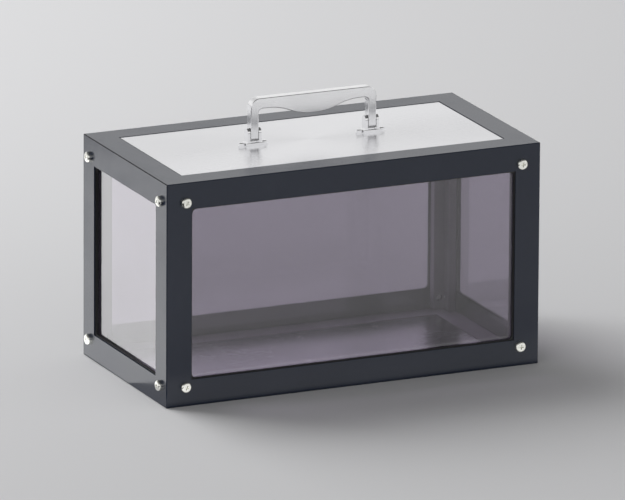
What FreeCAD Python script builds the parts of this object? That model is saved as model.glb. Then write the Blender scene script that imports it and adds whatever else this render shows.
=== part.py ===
# Small laboratory isolation box with a lift-off lid and a folding carrying handle.
#
# Frame of the whole object: +Z up, +X along the length, the front faces -Y, and the
# origin lies under the middle of the box, on the surface that it stands on.
# Every wall piece is drawn in the wall's own frame: x across, z up, y = 0 on the outer
# face and +y inwards. The piece's Placement then turns it to its side of the box.
import FreeCAD, Part
import math
import os
import re

import Sketcher

DIMENSIONS = (
    # alias, millimetres, meaning
    ("box_length", 354.0, "outside length of the box"),
    ("box_depth", 182.0, "outside depth of the box"),
    ("box_height", 200.0, "outside height of the box"),
    ("wall_thick", 3.6, "thickness of every frame plate"),
    ("edge_bevel", 0.6, "width of the bevel along the outer edges"),
    ("frame_border", 23.5, "visible width of a frame around its opening"),
    ("window_thick", 3.0, "thickness of a clear window"),
    ("lip_depth", 2.8, "locating lip inside the top and bottom frames"),
    ("gasket_width", 1.0, "width of the bead around a window"),
    ("gasket_recess", 1.4, "depth of the bead below the frame's face"),
    ("gasket_corner", 4.5, "inner corner radius of the bead"),
    ("ledge_width", 4.0, "ledge that carries the lid or the floor"),
    ("seal_thick", 0.8, "thickness of the flat seals"),
    ("lid_thick", 2.5, "thickness of the lid plate"),
    ("lid_gap", 1.0, "gap around the lid plate"),
    ("floor_thick", 1.6, "thickness of the floor plate"),
    ("floor_gap", 0.5, "gap around the floor plate"),
    ("floor_border", 26.0, "width of the bottom frame around the floor plate"),
    ("post_leg", 7.0, "thickness of a corner post's legs"),
    ("front_screw_inset", 17.8, "front and rear screws, from the box's ends"),
    ("side_screw_inset", 13.5, "side screws, from the box's front and rear"),
    ("screw_rise", 17.5, "wall screws, from the box's top and bottom"),
    ("screw_radius", 2.5, "shank of a wall screw"),
    ("screw_length", 12.0, "length of a wall screw under its head"),
    ("head_radius", 4.75, "head of a wall screw"),
    ("head_height", 3.7, "height of a wall screw's head"),
    ("head_round", 2.0, "rounding of a wall screw's head"),
    ("recess_width", 1.1, "arm width of a wall screw's cross recess"),
    ("recess_span", 5.2, "span of a wall screw's cross recess"),
    ("recess_depth", 2.0, "depth of a wall screw's cross recess"),
    ("hole_gap", 0.25, "radial gap of a clearance hole"),
    ("base_screw_radius", 2.0, "shank of a base screw"),
    ("base_screw_length", 12.0, "overall length of a base screw"),
    ("base_head_radius", 3.9, "countersunk head of a base screw"),
    ("base_hole_depth", 13.5, "base screw hole, from the box's underside"),
    ("bracket_spread", 56.0, "handle brackets, from the middle of the lid"),
    ("bracket_length", 16.4, "block of a handle bracket, along the box"),
    ("bracket_depth", 10.0, "block of a handle bracket, front to back"),
    ("bracket_height", 3.1, "height of a handle bracket's block"),
    ("bracket_edge", 0.6, "rounding of a handle bracket's block"),
    ("foot_thick", 1.0, "thickness of a handle bracket's feet"),
    ("foot_width", 6.0, "width of a handle bracket's feet"),
    ("foot_round", 2.95, "end radius of a handle bracket's feet"),
    ("foot_screw", 11.0, "foot screws, from the middle of the bracket"),
    ("ear_thick", 2.4, "thickness of a handle bracket's ears"),
    ("ear_round", 4.0, "end radius of a handle bracket's ears"),
    ("ear_gap", 8.0, "gap between the ears of a handle bracket"),
    ("pin_rise", 11.6, "handle pin above the top of the lid plate"),
    ("pin_radius", 2.0, "radius of a handle pin"),
    ("pin_running_gap", 0.05, "radial gap between the handle and its pins"),
    ("bail_thick", 9.0, "thickness of the handle, front to back"),
    ("leg_width", 7.3, "width of the handle's legs"),
    ("leg_tail", 7.9, "leg below the pin"),
    ("bail_rise", 30.7, "top of the handle above the pins"),
    ("grip_rise", 21.4, "underside of the handle's ends above the pins"),
    ("belly_rise", 13.1, "underside of the grip's middle above the pins"),
    ("belly_flat", 2.5, "half length of the grip's lowest stretch"),
    ("belly_run", 41.0, "length of the wave from there to the ends"),
    ("bail_corner", 8.5, "outer corner radius of the handle"),
    ("bail_inner_corner", 4.0, "inner corner radius of the handle"),
    ("bail_edge", 0.8, "rounding of the handle's long edges"),
    ("tail_round", 3.5, "rounding of the handle's lower ends"),
    ("foot_screw_radius", 1.5, "shank of a bracket screw"),
    ("foot_screw_length", 6.3, "length of a bracket screw under its head"),
    ("foot_head_radius", 2.5, "head of a bracket screw"),
    ("foot_head_height", 2.4, "height of a bracket screw's head"),
    ("foot_head_round", 1.0, "rounding of a bracket screw's head"),
    ("foot_recess_width", 0.7, "arm width of a bracket screw's cross recess"),
    ("foot_recess_span", 2.8, "span of a bracket screw's cross recess"),
    ("foot_recess_depth", 1.2, "depth of a bracket screw's cross recess"),
    ("nut_across", 5.5, "nut size across its flats"),
    ("nut_thick", 2.4, "thickness of a nut"),
)

# Where each wall's frame lies: turn axis, turn in degrees, middle of the outer face.
X_AXIS = FreeCAD.Vector(1, 0, 0)
Y_AXIS = FreeCAD.Vector(0, 1, 0)
Z_AXIS = FreeCAD.Vector(0, 0, 1)
WALLS = {
    "front": (Z_AXIS, 0, ("0", "-box_depth / 2", "box_height / 2")),
    "rear": (Z_AXIS, 180, ("0", "box_depth / 2", "box_height / 2")),
    "left": (Z_AXIS, -90, ("-box_length / 2", "0", "box_height / 2")),
    "right": (Z_AXIS, 90, ("box_length / 2", "0", "box_height / 2")),
    "top": (X_AXIS, -90, ("0", "0", "box_height")),
    "bottom": (X_AXIS, 90, ("0", "0", "0")),
}

# Length and height of each wall, and where its screws sit from its two ends.
WALL_SPANS = {
    "front": ("box_length", "box_height", "front_screw_inset"),
    "rear": ("box_length", "box_height", "front_screw_inset"),
    "left": ("box_depth", "box_height", "side_screw_inset"),
    "right": ("box_depth", "box_height", "side_screw_inset"),
}

# Depth of the lid plate's top below the top frame, and the height that it gives.
LID_RECESS = "wall_thick - seal_thick - lid_thick"
LID_TOP = f"box_height - ({LID_RECESS})"
PIN_HEIGHT = f"{LID_TOP} + pin_rise"
POST_CENTRE = "(wall_thick + window_thick + post_leg / 2)"

TOLERANCE = 1e-3
DIRECTION_TOLERANCE = 1e-6

doc = FreeCAD.newDocument("laboratory_box")
subparts = []


# ---------------------------------------------------------------- building blocks

def cells(expression):
    """Spell out the spreadsheet in front of every dimension's name."""
    return re.sub(r"\b[a-z]+(?:_[a-z]+)+\b", r"Size.\g<0>", expression)


def bind(item, target, expression):
    item.setExpression(target, cells(expression))


def make_sheet():
    sheet = doc.addObject("Spreadsheet::Sheet", "Size")
    for row, (alias, value, meaning) in enumerate(DIMENSIONS, start=1):
        sheet.set(f"A{row}", meaning)
        sheet.set(f"B{row}", str(value))
        sheet.setAlias(f"B{row}", alias)
    doc.recompute()
    return sheet


def new_body(label, is_subpart=True):
    body = doc.addObject("PartDesign::Body", label)
    body.Label = label
    if is_subpart:
        subparts.append(body)
    return body


def place(item, base, axis=Z_AXIS, degrees=0):
    """Turn a sub-part by a fixed angle and bind its position to the sheet."""
    item.Placement = FreeCAD.Placement(FreeCAD.Vector(), FreeCAD.Rotation(axis, degrees))
    for letter, expression in zip("xyz", base):
        bind(item, f"Placement.Base.{letter}", expression)


def place_on_wall(item, wall):
    axis, degrees, base = WALLS[wall]
    place(item, base, axis, degrees)


def new_sketch(body, role="XZ_Plane", offset="0"):
    """A sketch on one of the body's own planes, moved along the plane's normal."""
    sketch = body.newObject("Sketcher::SketchObject", f"{body.Name}_sketch")
    plane = next(item for item in body.Origin.OriginFeatures if item.Role == role)
    sketch.AttachmentSupport = [(plane, "")]
    sketch.MapMode = "FlatFace"
    bind(sketch, "AttachmentOffset.Base.z", offset)
    return sketch


def hold_point(sketch, geometry, end, across, up):
    """Fix one point of a sketch by its two distances from the origin."""
    for kind, axis, expression in (("DistanceX", -2, across), ("DistanceY", -1, up)):
        if expression == "0":
            sketch.addConstraint(Sketcher.Constraint("PointOnObject", geometry, end, axis))
        else:
            constraint = Sketcher.Constraint(kind, -1, 1, geometry, end, 1.0)
            index = sketch.addConstraint(constraint)
            bind(sketch, f"Constraints[{index}]", expression)


def polygon(sketch, points):
    """A closed outline of straight lines through points given as expressions."""
    first = sketch.GeometryCount
    turn = 2 * math.pi / len(points)
    guesses = [FreeCAD.Vector(math.cos(i * turn), math.sin(i * turn), 0) for i in range(len(points))]
    for i in range(len(points)):
        sketch.addGeometry(Part.LineSegment(guesses[i - 1], guesses[i]))
    for i, (across, up) in enumerate(points):
        following = first + (i + 1) % len(points)
        sketch.addConstraint(Sketcher.Constraint("Coincident", first + i, 2, following, 1))
        hold_point(sketch, first + i, 2, across, up)


def rectangle(sketch, width, height, across="0", up="0"):
    corners = ((-1, -1), (1, -1), (1, 1), (-1, 1))
    polygon(sketch, [(f"{across} + {i} * ({width}) / 2", f"{up} + {j} * ({height}) / 2")
                     for i, j in corners])


def circle(sketch, radius, across="0", up="0"):
    index = sketch.addGeometry(Part.Circle(FreeCAD.Vector(), Z_AXIS, 1.0))
    hold_point(sketch, index, 3, across, up)
    constraint = sketch.addConstraint(Sketcher.Constraint("Radius", index, 1.0))
    bind(sketch, f"Constraints[{constraint}]", radius)


def four_circles(sketch, radius, across, up):
    for i in (-1, 1):
        for j in (-1, 1):
            circle(sketch, radius, f"{i} * ({across})", f"{j} * ({up})")


def pad(body, sketch, length, against_normal=False, both_ways=False):
    feature = body.newObject("PartDesign::Pad", f"{body.Name}_pad")
    feature.Profile = sketch
    feature.Reversed = against_normal
    feature.Midplane = both_ways
    bind(feature, "Length", length)
    doc.recompute()
    if not feature.isValid():
        raise RuntimeError(f"a pad of {body.Label} failed")


def pocket(body, sketch, length=None, both_ways=False):
    """Cut a sketch against its normal, or right through the body if no length is given."""
    before = body.Shape.Volume
    feature = body.newObject("PartDesign::Pocket", f"{body.Name}_pocket")
    feature.Profile = sketch
    feature.Midplane = both_ways
    if length is None:
        feature.Type = "ThroughAll"
    else:
        bind(feature, "Length", length)
    doc.recompute()
    if body.Shape.Volume >= before:
        raise RuntimeError(f"a pocket of {body.Label} cuts nothing")


def edges_of(body, is_wanted):
    edges = enumerate(body.Tip.Shape.Edges, start=1)
    names = [f"Edge{number}" for number, edge in edges if is_wanted(edge)]
    if not names:
        raise RuntimeError(f"no edge of {body.Label} fits")
    return names


def fillet(body, radius, is_wanted):
    base = body.Tip
    names = edges_of(body, is_wanted)
    feature = body.newObject("PartDesign::Fillet", f"{body.Name}_fillet")
    feature.Base = (base, names)
    bind(feature, "Radius", radius)
    doc.recompute()
    if not feature.isValid():
        raise RuntimeError(f"a fillet of {body.Label} failed")


def lies_at(edge, letter, value):
    """Whether all of an edge's ends have one coordinate at a value."""
    return all(abs(getattr(vertex, letter) - value) < TOLERANCE for vertex in edge.Vertexes)


def runs_along(edge, axis):
    """Whether a straight edge runs along an axis."""
    ends = [vertex.Point for vertex in edge.Vertexes]
    if len(ends) != 2:
        return False
    along = abs((ends[1] - ends[0]).normalize().dot(axis))
    return abs(along - 1) < DIRECTION_TOLERANCE


def slab(body, width, height, start, depth):
    """Add a rectangular plate to a wall piece, from the depth start inwards."""
    sketch = new_sketch(body, offset=f"-({start})")
    rectangle(sketch, width, height)
    pad(body, sketch, depth, against_normal=True)


def opening(body, width, height, start="0", depth=None):
    """Cut a rectangular opening in a wall piece, from the depth start inwards."""
    sketch = new_sketch(body, offset=f"-({start})")
    rectangle(sketch, width, height)
    pocket(body, sketch, depth)


def screw_holes(body, radius, across, up):
    sketch = new_sketch(body)
    four_circles(sketch, radius, across, up)
    pocket(body, sketch)


# ---------------------------------------------------------------- frames

def frustum(body, length, height, start, end, start_inset, end_inset):
    """A slice of a mitred plate, whose four edges slope from one inset to the other."""
    wedge = body.newObject("PartDesign::AdditiveWedge", f"{body.Name}_slice")
    bind(wedge, "Ymin", start)
    bind(wedge, "Ymax", end)
    for letter, span in (("X", length), ("Z", height)):
        bind(wedge, f"{letter}min", f"-{span} / 2 + {start_inset}")
        bind(wedge, f"{letter}max", f"{span} / 2 - {start_inset}")
        bind(wedge, f"{letter}2min", f"-{span} / 2 + {end_inset}")
        bind(wedge, f"{letter}2max", f"{span} / 2 - {end_inset}")
    doc.recompute()


def mitred_plate(label, length, height):
    """A plate that meets its neighbours on mitres, with half of the corner bevel."""
    body = new_body(label)
    frustum(body, length, height, "0", "edge_bevel / 2", "edge_bevel", "edge_bevel / 2")
    frustum(body, length, height, "edge_bevel / 2", "wall_thick", "edge_bevel / 2", "wall_thick")
    return body


def wall_frame(wall):
    length, height, inset = WALL_SPANS[wall]
    body = mitred_plate(f"{wall}_frame", length, height)
    opening(body, f"{length} - 2 * frame_border", f"{height} - 2 * frame_border")
    screw_holes(body, "screw_radius + hole_gap", f"{length} / 2 - {inset}",
                f"{height} / 2 - screw_rise")
    place_on_wall(body, wall)


def inner_lip(body):
    """The step that drops between the four walls and stands against the windows."""
    slab(body, "box_length - 2 * wall_thick", "box_depth - 2 * wall_thick",
         "wall_thick", "lip_depth")


def top_frame():
    body = mitred_plate("top_frame", "box_length", "box_depth")
    inner_lip(body)
    opening(body, "box_length - 2 * frame_border", "box_depth - 2 * frame_border",
            depth="wall_thick")
    opening(body, "box_length - 2 * (frame_border + ledge_width)",
            "box_depth - 2 * (frame_border + ledge_width)")
    place_on_wall(body, "top")


def bottom_frame():
    body = mitred_plate("bottom_frame", "box_length", "box_depth")
    inner_lip(body)
    opening(body, "box_length - 2 * floor_border", "box_depth - 2 * floor_border",
            start="wall_thick", depth="lip_depth")
    opening(body, "box_length - 2 * (floor_border + ledge_width)",
            "box_depth - 2 * (floor_border + ledge_width)")
    countersunk_holes(body)
    place_on_wall(body, "bottom")


def countersunk_holes(body):
    sketch = new_sketch(body)
    four_circles(sketch, "base_screw_radius + hole_gap",
                 f"box_length / 2 - {POST_CENTRE}", f"box_depth / 2 - {POST_CENTRE}")
    doc.recompute()
    before = body.Shape.Volume
    hole = body.newObject("PartDesign::Hole", f"{body.Name}_hole")
    hole.Profile = sketch
    doc.recompute()
    hole.DepthType = "ThroughAll"
    hole.Threaded = False
    bind(hole, "Diameter", "2 * (base_screw_radius + hole_gap)")
    hole.HoleCutType = "Countersink"
    hole.HoleCutCustomValues = True
    bind(hole, "HoleCutDiameter", "2 * (base_head_radius + hole_gap)")
    hole.HoleCutCountersinkAngle = 90
    doc.recompute()
    if body.Shape.Volume >= before:
        raise RuntimeError("the countersunk holes cut nothing")


def corner_post(label, side, end):
    """An L-section post in one corner; side and end are -1 or 1 along X and Y."""
    body = new_body(label)
    near = "(wall_thick + window_thick)"
    inner = f"({near} + post_leg)"
    section = (
        (near, near), ("frame_border", near), ("frame_border", inner),
        (inner, inner), (inner, "frame_border"), (near, "frame_border"),
    )
    sketch = new_sketch(body, "XY_Plane", "wall_thick + lip_depth")
    polygon(sketch, [(f"{-side} * {u}", f"{-end} * {v}") for u, v in section])
    pad(body, sketch, "box_height - 2 * (wall_thick + lip_depth)")
    for role, direction, inset in (("XZ_Plane", -side, "front_screw_inset"),
                                   ("YZ_Plane", -end, "side_screw_inset")):
        sketch = new_sketch(body, role)
        circle(sketch, "screw_radius", f"{direction} * {inset}", "screw_rise")
        circle(sketch, "screw_radius", f"{direction} * {inset}", "box_height - screw_rise")
        pocket(body, sketch, f"2 * {inner}", both_ways=True)
    sketch = new_sketch(body, "XY_Plane")
    circle(sketch, "base_screw_radius", f"{-side} * {POST_CENTRE}", f"{-end} * {POST_CENTRE}")
    pocket(body, sketch, "2 * base_hole_depth", both_ways=True)
    place(body, (f"{side} * box_length / 2", f"{end} * box_depth / 2", "0"))


# ---------------------------------------------------------------- windows, seals, plates

def window(wall, length):
    """A clear sheet behind a wall frame, clamped by the wall's screws."""
    span, height, inset = WALL_SPANS[wall]
    body = new_body(f"{wall}_window")
    slab(body, length, f"{height} - 2 * (wall_thick + lip_depth)", "wall_thick", "window_thick")
    screw_holes(body, "screw_radius + hole_gap", f"{span} / 2 - {inset}",
                f"{height} / 2 - screw_rise")
    place_on_wall(body, wall)


def gasket(wall):
    """The bead that lines a window opening, with rounded inner corners."""
    length, height, _ = WALL_SPANS[wall]
    body = new_body(f"{wall}_gasket")
    slab(body, f"{length} - 2 * frame_border", f"{height} - 2 * frame_border",
         "gasket_recess", "wall_thick - gasket_recess")
    border = "(frame_border + gasket_width)"
    opening(body, f"{length} - 2 * {border}", f"{height} - 2 * {border}", "gasket_recess")
    bounds = body.Shape.BoundBox

    def is_inner_corner(edge):
        middle = edge.CenterOfMass
        return runs_along(edge, Y_AXIS) and abs(middle.x) < bounds.XMax - TOLERANCE

    fillet(body, "gasket_corner", is_inner_corner)
    place_on_wall(body, wall)


def flat_seal(label, wall, border, gap, start):
    """A flat ring on the ledge of the top or bottom frame."""
    body = new_body(label)
    outer = f"({border} + {gap})"
    inner = f"({border} + ledge_width)"
    slab(body, f"box_length - 2 * {outer}", f"box_depth - 2 * {outer}", start, "seal_thick")
    opening(body, f"box_length - 2 * {inner}", f"box_depth - 2 * {inner}", start)
    place_on_wall(body, wall)


def flat_plate(label, wall, border, gap, start, thickness):
    """A plain plate inside the top or bottom frame, with a gap all round."""
    body = new_body(label)
    rim = f"({border} + {gap})"
    slab(body, f"box_length - 2 * {rim}", f"box_depth - 2 * {rim}", start, thickness)
    place_on_wall(body, wall)
    return body


def lid_plate():
    body = flat_plate("lid_plate", "top", "frame_border", "lid_gap", LID_RECESS, "lid_thick")
    sketch = new_sketch(body)
    for side in (-1, 1):
        for hand in (-1, 1):
            circle(sketch, "foot_screw_radius + hole_gap",
                   f"{side} * bracket_spread + {hand} * foot_screw")
    pocket(body, sketch)


# ---------------------------------------------------------------- fasteners

def pan_screw(label, shank_radius, length, head):
    """A cross-recessed pan-head screw, its shank along +Y from under the head."""
    radius, height, rounding, arm, span, depth = head
    body = new_body(label, is_subpart=False)
    sketch = new_sketch(body, "XY_Plane")
    polygon(sketch, (
        ("0", f"-{height}"), (radius, f"-{height}"), (radius, "0"),
        (shank_radius, "0"), (shank_radius, length), ("0", length),
    ))
    turned = body.newObject("PartDesign::Revolution", f"{label}_turned")
    turned.Profile = sketch
    turned.ReferenceAxis = (sketch, ["V_Axis"])
    turned.Angle = 360
    doc.recompute()
    top = min(vertex.Y for vertex in body.Shape.Vertexes)
    fillet(body, rounding, lambda edge: lies_at(edge, "Y", top))
    for width, rise in ((arm, span), (span, arm)):
        sketch = new_sketch(body, offset=height)
        rectangle(sketch, width, rise)
        pocket(body, sketch, depth)
    return body


def countersunk_screw():
    body = new_body("countersunk_screw", is_subpart=False)
    sketch = new_sketch(body, "XY_Plane")
    polygon(sketch, (
        ("0", "0"), ("base_head_radius", "0"),
        ("base_screw_radius", "base_head_radius - base_screw_radius"),
        ("base_screw_radius", "base_screw_length"), ("0", "base_screw_length"),
    ))
    turned = body.newObject("PartDesign::Revolution", "countersunk_turned")
    turned.Profile = sketch
    turned.ReferenceAxis = (sketch, ["V_Axis"])
    turned.Angle = 360
    doc.recompute()
    for width, rise in (("recess_width", "recess_span"), ("recess_span", "recess_width")):
        sketch = new_sketch(body)
        rectangle(sketch, width, rise)
        pocket(body, sketch, "recess_depth")
    return body


def hexagon_nut():
    """A nut whose lower face is at y = 0, its thickness along +Y."""
    body = new_body("hexagon_nut", is_subpart=False)
    sketch = new_sketch(body)
    corner = "nut_across / sqrt(3)"
    half = "nut_across / (2 * sqrt(3))"
    flat = "nut_across / 2"
    polygon(sketch, (
        (corner, "0"), (half, flat), (f"-{half}", flat),
        (f"-{corner}", "0"), (f"-{half}", f"-{flat}"), (half, f"-{flat}"),
    ))
    pad(body, sketch, "nut_thick", against_normal=True)
    sketch = new_sketch(body)
    circle(sketch, "foot_screw_radius")
    pocket(body, sketch)
    return body


def fastener_group(label, wall, fastener, places):
    """Copies of one fastener in a single sub-part, at places in a wall's frame."""
    copies = []
    for across, depth, up in places:
        copy = doc.addObject("App::Link", f"{label}_copy")
        copy.LinkedObject = fastener
        for letter, expression in zip("xyz", (across, depth, up)):
            bind(copy, f"Placement.Base.{letter}", expression)
        copies.append(copy)
    group = doc.addObject("Part::Compound", label)
    group.Label = label
    group.Links = copies
    place_on_wall(group, wall)
    subparts.append(group)


def four_places(across, up):
    return [(f"{i} * ({across})", "0", f"{j} * ({up})") for i in (-1, 1) for j in (-1, 1)]


def foot_places(depth):
    return [(f"{side} * bracket_spread + {hand} * foot_screw", depth, "0")
            for side in (-1, 1) for hand in (-1, 1)]


def fasteners():
    wall_head = ("head_radius", "head_height", "head_round",
                 "recess_width", "recess_span", "recess_depth")
    wall_screw = pan_screw("wall_screw", "screw_radius", "screw_length", wall_head)
    for wall, (length, height, inset) in WALL_SPANS.items():
        places = four_places(f"{length} / 2 - {inset}", f"{height} / 2 - screw_rise")
        fastener_group(f"{wall}_screws", wall, wall_screw, places)
    places = four_places(f"box_length / 2 - {POST_CENTRE}", f"box_depth / 2 - {POST_CENTRE}")
    fastener_group("base_screws", "bottom", countersunk_screw(), places)
    foot_head = ("foot_head_radius", "foot_head_height", "foot_head_round",
                 "foot_recess_width", "foot_recess_span", "foot_recess_depth")
    foot_screw = pan_screw("foot_screw", "foot_screw_radius", "foot_screw_length", foot_head)
    fastener_group("bracket_screws", "top", foot_screw, foot_places(f"{LID_RECESS} - foot_thick"))
    fastener_group("bracket_nuts", "top", hexagon_nut(), foot_places(f"{LID_RECESS} + lid_thick"))


# ---------------------------------------------------------------- handle

def handle_bracket(label, side):
    """A clevis on the lid: two feet, a block and two ears. Its own z = 0 is its underside."""
    body = new_body(label)
    sketch = new_sketch(body, "XY_Plane")
    rectangle(sketch, "2 * foot_screw + foot_width", "foot_width")
    pad(body, sketch, "foot_thick")
    fillet(body, "foot_round", lambda edge: runs_along(edge, Z_AXIS))
    sketch = new_sketch(body, "XY_Plane")
    rectangle(sketch, "bracket_length", "bracket_depth")
    pad(body, sketch, "bracket_height")
    top = max(vertex.Z for vertex in body.Shape.Vertexes)
    fillet(body, "bracket_edge", lambda edge: lies_at(edge, "Z", top))
    sketch = new_sketch(body, "YZ_Plane")
    rectangle(sketch, "2 * ear_round", "pin_rise", up="pin_rise / 2")
    pad(body, sketch, "ear_gap + 2 * ear_thick", both_ways=True)
    sketch = new_sketch(body, "YZ_Plane")
    circle(sketch, "ear_round", up="pin_rise")
    pad(body, sketch, "ear_gap + 2 * ear_thick", both_ways=True)
    sketch = new_sketch(body)
    gap_height = "(pin_rise + ear_round - bracket_height)"
    rectangle(sketch, "ear_gap", gap_height, up=f"bracket_height + {gap_height} / 2")
    pocket(body, sketch, "4 * ear_round", both_ways=True)
    sketch = new_sketch(body, "YZ_Plane")
    circle(sketch, "pin_radius", up="pin_rise")
    pocket(body, sketch, "2 * bracket_length", both_ways=True)
    sketch = new_sketch(body, "XY_Plane", "foot_thick")
    for hand in (-1, 1):
        circle(sketch, "foot_screw_radius + hole_gap", f"{hand} * foot_screw")
    pocket(body, sketch, "2 * foot_thick", both_ways=True)
    place(body, (f"{side} * bracket_spread", "0", LID_TOP))


def handle_pin(label, side):
    pin = doc.addObject("Part::Cylinder", label)
    pin.Label = label
    bind(pin, "Radius", "pin_radius")
    bind(pin, "Height", "ear_gap + 2 * ear_thick")
    left_end = f"{side} * bracket_spread - ear_gap / 2 - ear_thick"
    place(pin, (left_end, "0", PIN_HEIGHT), Y_AXIS, 90)
    subparts.append(pin)


def grip_belly(body, sheet):
    """The grip's lower wave: on each side two equal arcs that meet on one tangent."""
    sketch = new_sketch(body)
    wave_radius = "(belly_run ^ 2 + (grip_rise - belly_rise) ^ 2) / (4 * (grip_rise - belly_rise))"
    run, drop = sheet.belly_run, sheet.grip_rise - sheet.belly_rise
    radius = (run ** 2 + drop ** 2) / (4 * drop)
    sweep = math.atan2(run / 2, radius - drop / 2)
    ends = {}
    for side in (-1, 1):
        outer = sheet.belly_flat + run
        high = Part.Circle(FreeCAD.Vector(side * outer, sheet.grip_rise - radius), Z_AXIS, radius)
        low = Part.Circle(FreeCAD.Vector(side * sheet.belly_flat, sheet.belly_rise + radius),
                          Z_AXIS, radius)
        turns = ((math.pi / 2, math.pi / 2 + sweep), (3 * math.pi / 2, 3 * math.pi / 2 + sweep))
        if side < 0:
            turns = tuple((math.pi - last, math.pi - start) for start, last in turns)
        high_arc = sketch.addGeometry(Part.ArcOfCircle(high, *turns[0]))
        low_arc = sketch.addGeometry(Part.ArcOfCircle(low, *turns[1]))
        level_end, middle_end = (1, 2) if side > 0 else (2, 1)
        for arc, across, up in ((high_arc, "belly_flat + belly_run", "grip_rise"),
                                (low_arc, "belly_flat", "belly_rise")):
            hold_point(sketch, arc, level_end, f"{side} * ({across})", up)
            index = sketch.addConstraint(Sketcher.Constraint("Radius", arc, radius))
            bind(sketch, f"Constraints[{index}]", wave_radius)
            sketch.addConstraint(Sketcher.Constraint("Vertical", arc, level_end, arc, 3))
        sketch.addConstraint(Sketcher.Constraint("Coincident", high_arc, middle_end,
                                                 low_arc, middle_end))
        ends[side] = (high_arc, low_arc, level_end)
    rise = sheet.grip_rise + sheet.bail_edge
    outline = [(ends[-1][1], ends[-1][2]), (ends[1][1], ends[1][2])]
    low_points = [FreeCAD.Vector(side * sheet.belly_flat, sheet.belly_rise) for side in (-1, 1)]
    low_line = sketch.addGeometry(Part.LineSegment(*low_points))
    for end, (arc, arc_end) in enumerate(outline, start=1):
        sketch.addConstraint(Sketcher.Constraint("Coincident", low_line, end, arc, arc_end))
    corners = [FreeCAD.Vector(side * outer, height) for side, height in
               ((-1, sheet.grip_rise), (-1, rise), (1, rise), (1, sheet.grip_rise))]
    lines = [sketch.addGeometry(Part.LineSegment(a, b)) for a, b in zip(corners, corners[1:])]
    sketch.addConstraint(Sketcher.Constraint("Coincident", lines[0], 1, ends[-1][0], ends[-1][2]))
    sketch.addConstraint(Sketcher.Constraint("Coincident", lines[2], 2, ends[1][0], ends[1][2]))
    for line, following in zip(lines, lines[1:]):
        sketch.addConstraint(Sketcher.Constraint("Coincident", line, 2, following, 1))
    for line, side in ((lines[0], -1), (lines[1], 1)):
        hold_point(sketch, line, 2, f"{side} * (belly_flat + belly_run)", "grip_rise + bail_edge")
    pad(body, sketch, "bail_thick", both_ways=True)


def handle_bail(sheet):
    """The folding handle. Its own origin lies on the pins' axis, midway between the legs."""
    body = new_body("handle_bail")
    width = "(2 * bracket_spread + leg_width)"
    sketch = new_sketch(body)
    rectangle(sketch, width, "bail_rise + leg_tail", up="(bail_rise - leg_tail) / 2")
    pad(body, sketch, "bail_thick", both_ways=True)
    sketch = new_sketch(body)
    rectangle(sketch, "2 * bracket_spread - leg_width", "grip_rise + leg_tail",
              up="(grip_rise - leg_tail) / 2")
    pocket(body, sketch, "2 * bail_thick", both_ways=True)
    middle = sheet.bracket_spread

    def is_corner(edge, beyond_leg):
        centre = edge.CenterOfMass
        is_outside = abs(centre.x) > middle
        return runs_along(edge, Y_AXIS) and centre.z > 0 and is_outside == beyond_leg

    fillet(body, "bail_corner", lambda edge: is_corner(edge, True))
    fillet(body, "bail_inner_corner", lambda edge: is_corner(edge, False))
    grip_belly(body, sheet)
    tail = min(vertex.Z for vertex in body.Shape.Vertexes)
    fillet(body, "tail_round", lambda edge: runs_along(edge, X_AXIS) and lies_at(edge, "Z", tail))
    face = max(vertex.Y for vertex in body.Shape.Vertexes)

    def is_long_edge(edge):
        is_on_face = lies_at(edge, "Y", face) or lies_at(edge, "Y", -face)
        is_tail_end = runs_along(edge, X_AXIS) and edge.CenterOfMass.z < 0
        return is_on_face and not is_tail_end

    fillet(body, "bail_edge", is_long_edge)
    sketch = new_sketch(body, "YZ_Plane")
    circle(sketch, "pin_radius + pin_running_gap")
    pocket(body, sketch, f"2 * {width}", both_ways=True)
    place(body, ("0", "0", PIN_HEIGHT))


# ---------------------------------------------------------------- the whole box

def build():
    sheet = make_sheet()
    for wall in WALL_SPANS:
        wall_frame(wall)
    top_frame()
    bottom_frame()
    for end, end_name in ((-1, "front"), (1, "rear")):
        for side, side_name in ((-1, "left"), (1, "right")):
            corner_post(f"corner_post_{end_name}_{side_name}", side, end)
    for wall in ("front", "rear"):
        window(wall, "box_length - 2 * (wall_thick + window_thick)")
    for wall in ("left", "right"):
        window(wall, "box_depth - 2 * wall_thick")
    for wall in WALL_SPANS:
        gasket(wall)
    flat_seal("lid_seal", "top", "frame_border", "lid_gap", "wall_thick - seal_thick")
    flat_seal("floor_seal", "bottom", "floor_border", "floor_gap", "wall_thick")
    lid_plate()
    flat_plate("floor_plate", "bottom", "floor_border", "floor_gap", "wall_thick + seal_thick",
               "floor_thick")
    for side, side_name in ((-1, "left"), (1, "right")):
        handle_bracket(f"handle_bracket_{side_name}", side)
        handle_pin(f"handle_pin_{side_name}", side)
    handle_bail(sheet)
    fasteners()
    doc.recompute()


def check_and_export():
    for item in doc.Objects:
        if {"Invalid", "Error"} & set(item.State):
            raise RuntimeError(f"{item.Label} failed to compute")
    for item in subparts:
        if item.Shape.isNull() or not item.Shape.isValid():
            raise RuntimeError(f"{item.Label} has no valid shape")
    os.makedirs("parts", exist_ok=True)
    for item in subparts:
        item.Shape.exportStep(os.path.join("parts", f"{item.Label}.step"))
        print(f"{item.Label}: {len(item.Shape.Solids)} solids, {item.Shape.Volume:.1f} mm3")


build()
check_and_export()
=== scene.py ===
"""Finishes of a laboratory isolation box: coated frames, tinted windows, satin plates, chrome handle.

Everything is in metres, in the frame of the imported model: +Z up, +X along the box, the front faces -Y.
"""

import math

import bmesh
import bpy
from bpy.props import FloatProperty, FloatVectorProperty, PointerProperty
from mathutils import Matrix, Quaternion, Vector


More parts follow.
